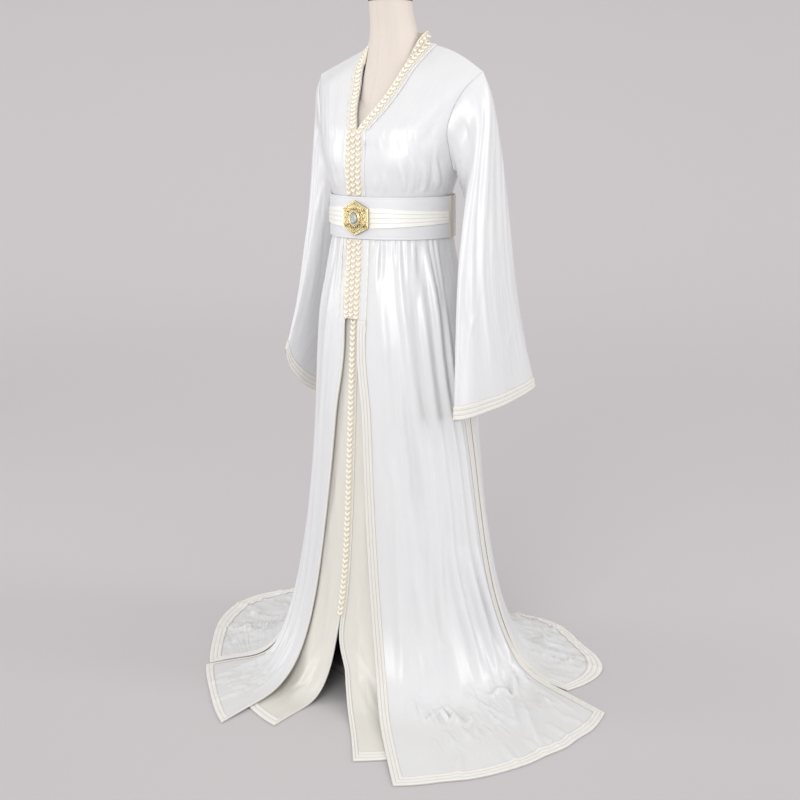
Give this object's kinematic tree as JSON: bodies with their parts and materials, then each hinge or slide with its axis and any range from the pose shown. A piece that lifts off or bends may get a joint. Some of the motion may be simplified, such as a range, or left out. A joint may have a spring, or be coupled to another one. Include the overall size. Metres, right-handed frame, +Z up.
{
  "type": "moroccan kaftan on a limbless dress form",
  "caption": "Long white satin kaftan with braided V neck, open front over an underskirt, wide hanging sleeves, a belt with gilt buckle and a spread train, on a limbless dress form.",
  "frame": {"origin": "on the floor, on the pole's axis, at the centre of the dress form's base", "axes": "+Z up, -Y the way the wearer faces, +X to the wearer's left"},
  "size_m": [1.0269, 0.8695, 1.4425],
  "materials": {
    "satin": "white heavy satin, soft sheen",
    "under_satin": "off-white satin, soft sheen",
    "edge_ribbon": "ivory corded ribbon",
    "braid": "ivory silk braid and knots",
    "belt_satin": "white satin, lined",
    "belt_edging": "beige grosgrain",
    "gilt": "gilt filigree",
    "stone": "polished clear-white cabochon",
    "linen": "natural linen cover",
    "dark_wood": "dark stained, satin varnish",
    "base_paint": "pale grey powder coat"
  },
  "bodies": {
    "root": {"outer_front_left": "satin", "outer_front_right": "satin", "outer_back": "satin", "under_front_left": "under_satin", "under_front_right": "under_satin", "under_back": "under_satin", "ribbon_outer_left": "edge_ribbon", "ribbon_outer_right": "edge_ribbon", "ribbon_outer_back": "edge_ribbon", "ribbon_under_left": "edge_ribbon", "ribbon_under_right": "edge_ribbon", "sleeve_left": "satin", "cuff_ribbon_left": "edge_ribbon", "sleeve_right": "satin", "cuff_ribbon_right": "edge_ribbon", "braid_upper": "braid", "braid_lower": "braid", "braid_neck_left": "braid", "braid_neck_right": "braid", "braid_under": "braid", "neck_band": "braid", "belt_front": "belt_satin", "belt_strip_left": "belt_edging", "belt_strip_right": "belt_edging", "belt_back": "belt_satin", "belt_wrap": "belt_satin", "buckle": "gilt", "buckle_stone": "stone", "form_torso": "linen", "form_neck_cap": "dark_wood", "form_pole": "base_paint", "form_base": "base_paint"}
  },
  "joints": []
}
